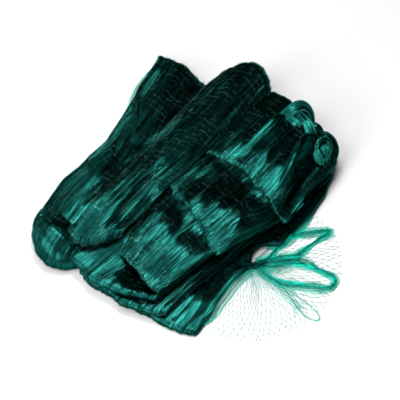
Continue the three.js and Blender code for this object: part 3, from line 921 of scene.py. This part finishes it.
def fold_strip(name, strip, material):
    """The core of a folded strip, in place of the solid."""
    STRIPS[name] = strip
    vertices, faces, uv = strip.core_mesh()
    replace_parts(settle_piece(make_object("net_" + name, vertices, faces, material, uv)), NODE)


class NET_OT_fold_heap(bpy.types.Operator):
    """Lay the gathered strip back and forth as the heap"""

    bl_idname = "net.fold_heap"
    bl_label = "Fold the Heap"

    def execute(self, context):
        strip = Strip(HEAP_CREASES, HEAP_LAYERS, HEAP_RIM, columns=75, seed=11)
        fold_strip("heap", strip, gathered_nylon(context.scene.net_colours))
        return {"FINISHED"}


class NET_OT_fold_tongue(bpy.types.Operator):
    """Wind the left tongue of the net over itself"""

    bl_idname = "net.fold_tongue"
    bl_label = "Fold the Tongue"

    def execute(self, context):
        strip = Strip(TONGUE_CREASES, TONGUE_LAYERS, TONGUE_RIM, columns=55, seed=23)
        fold_strip("tongue", strip, bpy.data.materials["gathered_nylon_net"])
        return {"FINISHED"}


class NET_OT_lay_strands(bpy.types.Operator):
    """Lay the strands and the rows of knots on the gathered faces that show"""

    bl_idname = "net.lay_strands"
    bl_label = "Lay the Strands"

    def execute(self, context):
        sizes, colours = context.scene.net_sizes, context.scene.net_colours
        # Lit and shaded copies of the twine colour: bright, for the drawn tone, and the glint colour paint highlights
        # on single strands, shaded paints shade, and shadowed, near black, paints the shade in folds.
        bright, shaded, deep = (toned(colours.twine, factor) for factor in (1.6, 0.3, 0.03))
        nylon_twine("drawn_nylon_twine", bright, colours.depth, 1.0, 0.21, 0.5, colours.graze)
        nylon_twine("shaded_nylon_twine", shaded, colours.depth, 1.0, 0.25, 0.5, colours.graze)
        nylon_twine("glinting_nylon_twine", colours.glint, bright, 1.0, 0.2, 0.5, colours.graze)
        nylon_twine("deep_nylon_twine", deep, deep, 0.0, 0.8, 0.0)
        nylon_twine("lit_nylon_twine", colours.lit, colours.twine, 0.4, 0.45, 0.3, colours.graze)
        knot = nylon_twine("pale_nylon_knots", colours.knot, colours.depth, 0.0, 0.5, 0.3)
        tree = core_tree()
        for seed, (name, strip) in enumerate(STRIPS.items()):
            seen = shows(tree, strip)
            strands = strands_on(strip, seen, sizes, 31 + seed)
            settle_piece(strands.build("net_%s_strands" % name, *twines("drawn", "shaded", "glinting")))
            vertices, faces = knots_mesh(*knot_rows_on(strip, seen, sizes, 41 + seed))
            settle_piece(make_object("net_%s_knots" % name, vertices, faces, knot))
        return {"FINISHED"}


class NET_OT_spread_fan(bpy.types.Operator):
    """Spread the loose corner as a fan of open meshes"""

    bl_idname = "net.spread_fan"
    bl_label = "Spread the Fan"

    CENTRE = np.array([94.0, -122.0])
    FROM_DEG, TO_DEG = -124.0, 49.0
    FIRST_RING = 8.0  # radius of the innermost row of knots, in mm
    KNOTTED_FROM = 2  # number of the first row with knots that show

    def execute(self, context):
        sizes, colours = context.scene.net_sizes, context.scene.net_colours
        rng = np.random.default_rng(53)
        bar = sizes.bar_length / MM
        start, end = math.radians(self.FROM_DEG), math.radians(self.TO_DEG)
        step = (end - start) / sizes.fan_meshes
        rings, radius = [], self.FIRST_RING
        while radius <= sizes.fan_radius / MM:
            rings.append(radius)
            radius += math.sqrt(max(bar**2 - (radius * step / 2) ** 2, 1.0))
        places = {}
        for i, ring in enumerate(rings):
            for k in range(sizes.fan_meshes + 1 - i % 2):
                angle = start + (k + (i % 2) / 2) * step
                bunch = 0.05 * math.sin(11 * angle + 0.6) * math.exp(-ring / 70)
                angle += bunch + 0.012 * math.sin(ring / 14 + 5 * angle) + rng.normal(0, 0.008)
                reach = ring * (1 + 0.02 * math.sin(3.1 * angle + 0.5)) + rng.normal(0, 1.3)
                z = 0.6 + 5.5 * math.exp(-ring / 22) + 0.5 * (1 + math.sin(9 * angle + ring / 30))
                flat = self.CENTRE + reach * np.array([math.cos(angle), math.sin(angle)])
                places[i, k] = np.array([*flat, z])
        tubes = Tubes()
        for (i, k), here in places.items():
            for other in ((i + 1, k), (i + 1, k - 1 + 2 * (i % 2))):
                if other in places:
                    there = places[other]
                    sag = np.array([*rng.normal(0, 0.25, 2), -0.1])
                    line = np.array([here, (here + there) / 2 + sag, there])
                    tubes.add(line, UP, sizes.twine_radius / MM)
        twine = nylon_twine("open_nylon_twine", colours.open_net, colours.thin, 0.0, 0.6, 0.1)
        settle_piece(tubes.build("net_fan_twine", twine))
        outer = [p for (i, _), p in places.items() if i >= self.KNOTTED_FROM]
        vertices, faces = knots_mesh(outer, 0.3 + 0.65 * rng.uniform(0, 1, len(outer)) ** 2)
        dark = toned(colours.thin, 0.12)
        knot = nylon_twine("tight_nylon_knots", dark, dark, 0.0, 0.6, 0.1)
        settle_piece(make_object("net_fan_knots", vertices, faces, knot))
        return {"FINISHED"}


def smooth_route(points, count):
    """A smooth line through points, at count even steps."""
    points = np.asarray(points, float)
    padded = np.vstack([2 * points[0] - points[1], points, 2 * points[-1] - points[-2]])
    place = np.linspace(0, len(points) - 1, 12 * count)
    k = np.minimum(place.astype(int), len(points) - 2)
    f = (place - k)[:, None]
    p0, p1, p2, p3 = (padded[k + n] for n in range(4))
    line = 0.5 * (
        2 * p1 + (p2 - p0) * f + (2 * p0 - 5 * p1 + 4 * p2 - p3) * f**2 + (3 * p1 - p0 - 3 * p2 + p3) * f**3
    )
    gone = lengths_along(line)
    even = np.linspace(0, gone[-1], count)
    return np.column_stack([np.interp(even, gone, line[:, n]) for n in range(line.shape[1])])


class NET_OT_gather_loops(bpy.types.Operator):
    """Lay the gathered loops on the fan and the root where they leave the heap, dark with painted shade"""

    bl_idname = "net.gather_loops"
    bl_label = "Gather the Loops"

    ALONG = 84
    KNOT_SHARE = 0.2  # of the places a bar's length apart that have a knot
    LOOP_RISE, ROOT_RISE = 0.2, 0.3  # height of the middle of a band, as a share of its width

    def band(self, row, rng, bar, rise):
        """Strands of a gathered band along a route: wandering lines, denser in its middle, the dark ones in clumps.
        Gives the length along the route, each strand's points, and whether it is dark."""
        route = smooth_route(row["route"], self.ALONG) + FRAME_SHIFT[:2]
        gone = lengths_along(route)
        side = left_of(route)
        breath = 1 + sway(rng, gone, 0.3, 19) + sway(rng, gone, 0.2, 7)
        clumps = rng.uniform(-1, 1, 4)
        for k in range(row["strands"]):
            dark = k < row["dark"] * row["strands"]
            q = rng.choice(clumps) + rng.normal(0, 0.05) if dark else np.clip(rng.normal(0, 0.6), -1.7, 1.7)
            wander = sway(rng, gone, rng.uniform(0.1, 0.45), rng.uniform(9, 26))
            across = q + wander + 0.05 * np.cos(math.pi * (gone / bar + k))
            flat = route + side * (row["width"] / 2 * across * breath)[:, None]
            z = 0.8 + rise * row["width"] * np.exp(-(across**2)) + rng.uniform(0, 0.6) + 0.8 * dark
            z = z + 4.0 * np.exp(-gone / 25) + 4.0 * np.exp(-(gone[-1] - gone) / 25)
            yield gone, np.column_stack([flat, z]), dark

    def execute(self, context):
        rng = np.random.default_rng(67)
        sizes, colours = context.scene.net_sizes, context.scene.net_colours
        bar = sizes.bar_length / MM
        radius = sizes.strand_radius / MM
        dim = toned(colours.thin, 0.5)
        nylon_twine("thin_nylon_twine", colours.thin, dim, 0.0, 0.6, 0.1)
        nylon_twine("edge_nylon_twine", toned(colours.thin, 0.4), dim, 0.0, 0.6, 0.1)
        # Painted light: the looped tone is lighter, for the floor's light shining through the loops.
        nylon_twine("looped_nylon_twine", colours.loops, colours.thin, 0.0, 0.6, 0.05)
        nylon_twine("dense_nylon_twine", toned(colours.thin, 0.2), dim, 0.0, 0.6, 0.1)
        centres = []
        for row in LOOPS:
            tubes = Tubes()
            for gone, line, dark in self.band(row, rng, bar, self.LOOP_RISE):
                tubes.add(line, UP, radius, int(dark))
                for at in np.arange(rng.uniform(0, bar), gone[-1], bar):
                    if rng.uniform() < self.KNOT_SHARE:
                        centres.append([np.interp(at, gone, line[:, n]) for n in range(3)] + 0.4 * UP)
            settle_piece(tubes.build("net_" + row["name"].replace(" ", "_"), *twines("looped", "dense")))
        vertices, faces = knots_mesh(centres, rng.uniform(0.6, 1.0, len(centres)))
        settle_piece(make_object("net_loop_knots", vertices, faces, bpy.data.materials["tight_nylon_knots"]))
        # The root: shaded and shadowed strands, painted shade where the net leaves the heap.
        tubes = Tubes()
        for gone, line, _ in self.band(ROOT, rng, bar, self.ROOT_RISE):
            middle = smooth_route(ROOT["route"], len(line)) + FRAME_SHIFT[:2]
            line[:, :2] = middle + (line[:, :2] - middle) * (1 - 0.7 * gone / gone[-1])[:, None]
            line[:, 2] += rng.uniform(0, 6) * np.exp(-gone / 30)
            line = line[: rng.integers(len(line) // 2, len(line))]
            tubes.add(line, UP, radius * 1.6, int(rng.uniform() < 0.6))
        settle_piece(tubes.build("net_root", *twines("shaded", "deep")))
        return {"FINISHED"}


class NET_OT_pull_threads(bpy.types.Operator):
    """Lay the bundles of threads that stand out on the folds, in lighter tones as painted light, and the near-black
    ones that lie far down in them as painted shade
    """

    bl_idname = "net.pull_threads"
    bl_label = "Pull the Threads"

    ALONG = 40
    LEAP = 9  # a thread ends where the net under it falls away by more than this, in mm
    LIFTS = (0.0006, 0.0009)  # range of heights over the net, in metres
    STRAY_SHARE = 0.06  # of drawn threads among those of another tone
    # Near-black threads that paint the shade in a fold are this many strands thick.
    SHADOWED_THICKNESS = 1.5  # of threads in a fold, in strands

    def execute(self, context):
        rng = np.random.default_rng(79)
        radius = context.scene.net_sizes.strand_radius / MM
        tree = core_tree()
        rise = math.radians(NET_OT_set_studio.ELEVATION)
        look = Vector((0, math.cos(rise), -math.sin(rise)))
        tones = ("lit", "drawn", "deep")
        tubes = Tubes()
        for row in THREADS:
            route = smooth_route(row["route"], self.ALONG) + FRAME_SHIFT[:2]
            side = left_of(route)
            taper = np.sin(np.pi * np.linspace(0.03, 0.97, len(route))) ** 0.6
            thick = radius * (self.SHADOWED_THICKNESS if row["tone"] == "deep" else 1)
            for _ in range(row["number"]):
                flat = route + side * (row["width"] / 2 * rng.uniform(-1, 1) * taper)[:, None]
                first, last = rng.integers(0, 10, 2)
                tone = tones.index("drawn" if rng.uniform() < self.STRAY_SHARE else row["tone"])
                pieces = [[]]
                for place in flat[first : len(flat) - last]:
                    hit = tree.ray_cast(Vector((*(place * MM), 0)) - look, look)[0]
                    if hit is None:
                        pieces.append([])
                        continue
                    here = np.array(hit - look * rng.uniform(*self.LIFTS)) / MM
                    if pieces[-1] and np.linalg.norm(here - pieces[-1][-1]) > self.LEAP:
                        pieces.append([])
                    pieces[-1].append(here)
                for line in pieces:
                    if len(line) > 3:
                        tubes.add(np.array(line), -np.array(look), thick, tone)
        settle_piece(tubes.build("net_threads", *twines(*tones)))
        return {"FINISHED"}


def carried_frames(points):
    """Side and up vectors carried along a line without twist."""
    onward = unit(np.gradient(points, axis=0))
    up = np.empty_like(points)
    guess = UP
    for n, ahead in enumerate(onward):
        guess = unit(guess - ahead * np.dot(guess, ahead))
        up[n] = guess
    return np.cross(onward, up), up


class NET_OT_raise_curls(bpy.types.Operator):
    """Roll up the small curls on the back edge"""

    bl_idname = "net.raise_curls"
    bl_label = "Raise the Curls"

    AROUND = 36
    ALONG = 40
    STRAND_STEP = 0.13  # from strand to strand round a curl, in radians

    def execute(self, context):
        rng = np.random.default_rng(71)
        sizes = context.scene.net_sizes
        vertices, faces, uv = [], [], []
        tubes = Tubes()
        turn = np.linspace(0, FULL_TURN, self.AROUND, endpoint=False)
        for row in CURLS:
            route = smooth_route(row["route"], self.ALONG) + FRAME_SHIFT
            side, up = carried_frames(route)
            share = np.linspace(0, 1, self.ALONG)
            width = np.interp(share, (0, 0.5, 1), row["widths"])
            ends = np.sqrt(np.clip(1 - (2 * share - 1) ** 8, 0.02, 1))
            gone = lengths_along(route)
            phase = rng.uniform(0, PHASES, 2)
            ridged = 0.84 + 0.2 * np.abs(np.sin(4 * turn[None] + phase[0] + gone[:, None] / 22))
            ridged = ridged + 0.04 * np.sin(11 * turn[None] + phase[1] + gone[:, None] / 18)

            def at(angle, ridge, lift):
                wide = width[:, None] / 2 * ends[:, None] * ridge + lift
                tall = row["height"] / 2 * ends[:, None] * ridge + lift
                return (
                    route[:, None]
                    + side[:, None] * (wide * np.cos(angle))[..., None]
                    + up[:, None] * (tall * np.sin(angle))[..., None]
                )

            grid = at(np.broadcast_to(turn[None], ridged.shape), ridged, 0.0)
            base = sum(len(v) for v in vertices)
            faces += (ring_quads(self.ALONG, self.AROUND) + base).tolist()
            faces.append([base + n for n in range(self.AROUND - 1, -1, -1)])
            faces.append([base + (self.ALONG - 1) * self.AROUND + n for n in range(self.AROUND)])
            vertices.append(grid.reshape(-1, 3) * MM)
            girth = turn / FULL_TURN * math.pi * (width.mean() + row["height"]) / 2
            uv.append(np.stack(np.broadcast_arrays(girth[None] * MM, gone[:, None] * MM), axis=-1).reshape(-1, 2))
            shares = (row["lit"], (1 - row["lit"]) / 2, (1 - row["lit"]) / 2)
            for angle in np.arange(0, FULL_TURN, self.STRAND_STEP):
                swing = angle + sway(rng, gone, 0.25, rng.uniform(12, 30)) + rng.normal(0, 0.08)
                ridge = [np.interp(s % FULL_TURN, turn, r, period=FULL_TURN) for s, r in zip(swing, ridged)]
                line = at(swing[:, None], np.array(ridge)[:, None], rng.uniform(0.2, 0.9))[:, 0]
                tone = int(rng.choice(3, p=shares))
                tubes.add(line[::2], unit(line - route)[::2], sizes.strand_radius / MM, tone)
        material = bpy.data.materials["gathered_nylon_net"]
        settle_piece(make_object("net_curls", np.concatenate(vertices), faces, material, np.concatenate(uv)))
        settle_piece(tubes.build("net_curl_strands", *twines("lit", "drawn", "shaded")))
        return {"FINISHED"}


class NET_OT_thin_edges(bpy.types.Operator):
    """Lay the few strands of the thin edges and the loose thread ends"""

    bl_idname = "net.thin_edges"
    bl_label = "Lay the Thin Edges"

    STRANDS = 34
    ALONG = 60
    THINNING = 1.9  # how much the strands of a thin edge spread out towards its outside

    def sheers(self, rng, radius, bar):
        """Strands beside the thin edges, ever sparser and lower towards the outside."""
        tubes = Tubes()
        for row in SHEERS:
            strip = STRIPS[row["strip"]]
            rows = np.flatnonzero(strip.part == row["part"])
            rows = rows[int(row["from"] * len(rows)) : int(row["to"] * len(rows)) + 1]
            edge, inner = (0, 4) if row["edge"] == 0 else (-1, -5)
            route = smooth_route(strip.faces[0][rows, edge][::4], self.ALONG)
            inside = smooth_route(strip.faces[0][rows, inner][::4], self.ALONG)
            side = left_of(route[:, :2])
            side *= np.sign((side * (route - inside)[:, :2]).sum(axis=1))[:, None]
            gone = lengths_along(route)
            fade = np.sin(np.pi * np.clip(gone / gone[-1], 0, 1)) ** 0.5
            for k in range(self.STRANDS):
                q = (k / self.STRANDS) ** self.THINNING
                zigzag = (0.2 + 0.7 * q) * np.cos(math.pi * (gone / bar + k))
                wander = sway(rng, gone, 0.8, 33)
                offset = row["width"] * (1.25 * q * fade - 0.25) + zigzag + wander
                z = route[:, 2] * (1 - row["drop"] * q * fade) ** row["fall"] + 0.4 + rng.uniform(0, 0.6)
                line = np.column_stack([route[:, :2] + side * offset[:, None], z])
                tubes.add(line, UP, radius, int(rng.uniform() < row["dark"] * (1.5 - 1.5 * q)))
        return tubes

    def overhangs(self, rng, radius):
        """Strands that rise out of a tier near its edge and run out over it."""
        tubes = Tubes()
        heap = STRIPS["heap"]
        for row in OVERHANGS:
            layer = np.flatnonzero(heap.part == row["part"])
            face = max(heap.faces, key=lambda grid: grid[layer, :, 2].mean())
            for _ in range(row["count"]):
                rows = layer[-rng.integers(4, 13) :]
                near = on_face(face, rows, np.full(len(rows), rng.uniform(0.5, len(heap.across) - 1.5)))
                reach = row["reach"] * rng.uniform(0.5, 1.3)
                s = np.linspace(0.25, 1, 4)[:, None]
                past = near[-1] + unit(near[-1] - near[-3]) * reach * s - 1.6 * UP * s**2
                line = np.vstack([near, past])
                line[:, 2] += np.linspace(-0.6, rng.uniform(0.5, 1.1), len(line))
                tubes.add(line, UP, radius, int(rng.choice(3, p=TONE_SHARES)))
        return tubes

    def whiskers(self, rng, radius):
        """Loose thread ends that stand off the edges."""
        tubes = Tubes()
        ridge = unit(np.array([0.2, 0.3, 1.0]))
        for row in WHISKERS:
            strip = STRIPS[row["strip"]]
            rows = np.flatnonzero(strip.part == row["part"])
            last = len(strip.across) - 1
            for _ in range(row["count"]):
                n = rng.choice(rows)
                k = int(round(rng.uniform(*row["columns"]) * last))
                face = rng.integers(0, 2)
                root = strip.faces[face][n, k]
                away = unit(root - strip.faces[1 - face][n, last // 2]) if k == 0 else strip.normals[face][n, k]
                away = unit(away + rng.normal(0, 0.45, 3))
                reach = row["reach"] * rng.uniform(0.4, 1.2)
                bow = rng.normal(0, 0.12, 3) * reach
                s = np.linspace(-0.3, 1, 5)[:, None]
                line = root + away * reach * s + bow * (1 - s**2)
                line[:, 2] = np.maximum(line[:, 2], 0.4)
                tubes.add(line, ridge, radius * 0.8)
        return tubes

    def execute(self, context):
        rng = np.random.default_rng(83)
        sizes = context.scene.net_sizes
        radius = sizes.strand_radius / MM
        sheer = self.sheers(rng, radius, sizes.bar_length / MM)
        over = self.overhangs(rng, radius)
        ends = self.whiskers(rng, radius)
        settle_piece(sheer.build("net_sheer_edges", *twines("looped", "edge")))
        settle_piece(ends.build("net_thread_ends", *twines("thin")))
        settle_piece(over.build("net_edge_strands", *twines("drawn", "shaded", "glinting")))
        return {"FINISHED"}


# Studio lamps: place and size of the disk in metres, and power in watts
LAMPS = table(
    ("name", "place", "size", "power"),
    ("overhead_softbox", (0.09, 0.11, 1.7), 0.74, 27.0),
    ("left_softbox", (-0.50, -0.56, 1.5), 0.9, 15.0),
    ("front_left_softbox", (-1.1, -1.2, 0.8), 1.3, 34.0),
)


class NET_OT_set_studio(bpy.types.Operator):
    """Set the floor, the soft light and the camera"""

    bl_idname = "net.set_studio"
    bl_label = "Set the Studio"

    AIM = Vector((0.019, -0.0055, 0.0))
    ELEVATION = 55.0
    DISTANCE = 6.0
    SEEN_WIDTH = 0.600
    SENSOR_MM = 36.0
    CLIP_END = 50.0
    FLOOR_HALF = 4.0
    AMBIENT = 0.06

    def execute(self, context):
        half = self.FLOOR_HALF
        floor = make_object(
            "studio_floor",
            [(-half, -half, 0), (half, -half, 0), (half, half, 0), (-half, half, 0)],
            [(0, 1, 2, 3)],
            studio_floor(context.scene.net_colours),
        )
        world = bpy.data.worlds.new("studio")
        world.use_nodes = True
        background = world.node_tree.nodes["Background"]
        background.inputs["Color"].default_value = (1, 1, 1, 1)
        background.inputs["Strength"].default_value = self.AMBIENT
        context.scene.world = world
        for row in LAMPS:
            light = bpy.data.lights.new(row["name"], "AREA")
            light.shape = "DISK"
            light.size = row["size"]
            light.energy = row["power"]
            lamp = bpy.data.objects.new(row["name"], light)
            lamp.location = row["place"]
            lamp.rotation_euler = (Vector((0, 0, 0)) - lamp.location).to_track_quat("-Z", "Y").to_euler()
            context.collection.objects.link(lamp)
        camera = bpy.data.cameras.new("photo_view")
        camera.sensor_width = self.SENSOR_MM
        camera.lens = self.SENSOR_MM * self.DISTANCE / self.SEEN_WIDTH
        camera.clip_end = self.CLIP_END
        rise = math.radians(self.ELEVATION)
        eye = bpy.data.objects.new("photo_view", camera)
        eye.location = self.AIM + self.DISTANCE * Vector((0, -math.cos(rise), math.sin(rise)))
        eye.rotation_euler = (self.AIM - eye.location).to_track_quat("-Z", "Y").to_euler()
        context.collection.objects.link(eye)
        context.scene.camera = eye
        context.scene.view_settings.view_transform = "Standard"
        return {"FINISHED"}


class NET_PT_panel(bpy.types.Panel):
    """Sizes, colours and steps of the folded net"""

    bl_idname = "NET_PT_panel"
    bl_label = "Folded Net"
    bl_space_type = "VIEW_3D"
    bl_region_type = "UI"
    bl_category = "Net"

    def draw(self, context):
        layout = self.layout
        for group in (context.scene.net_sizes, context.scene.net_colours):
            box = layout.box()
            for name in group.__annotations__:
                box.prop(group, name)
        for operator in STEPS:
            layout.operator(operator.bl_idname)


STEPS = (
    NET_OT_set_studio,
    NET_OT_fold_heap,
    NET_OT_fold_tongue,
    NET_OT_lay_strands,
    NET_OT_spread_fan,
    NET_OT_gather_loops,
    NET_OT_pull_threads,
    NET_OT_raise_curls,
    NET_OT_thin_edges,
)
CLASSES = (NetSizes, NetColours, *STEPS, NET_PT_panel)


def register():
    for cls in CLASSES:
        bpy.utils.register_class(cls)
    bpy.types.Scene.net_sizes = PointerProperty(type=NetSizes)
    bpy.types.Scene.net_colours = PointerProperty(type=NetColours)


def unregister():
    del bpy.types.Scene.net_colours
    del bpy.types.Scene.net_sizes
    for cls in reversed(CLASSES):
        bpy.utils.unregister_class(cls)


def declare_cloth():
    """Looks up the net's pieces by name and takes the two folded runs, which belong to one gathered net, out of the
    rest; it does nothing more with them.
    """
    pieces = {piece.name: piece for piece in bpy.data.objects if piece.name.startswith("net_")}
    heap, tongue = pieces.pop("net_heap"), pieces.pop("net_tongue")


def main():
    register()
    for operator in STEPS:
        group, name = operator.bl_idname.split(".")
        getattr(getattr(bpy.ops, group), name)()
    declare_cloth()


if __name__ == "__main__":
    main()
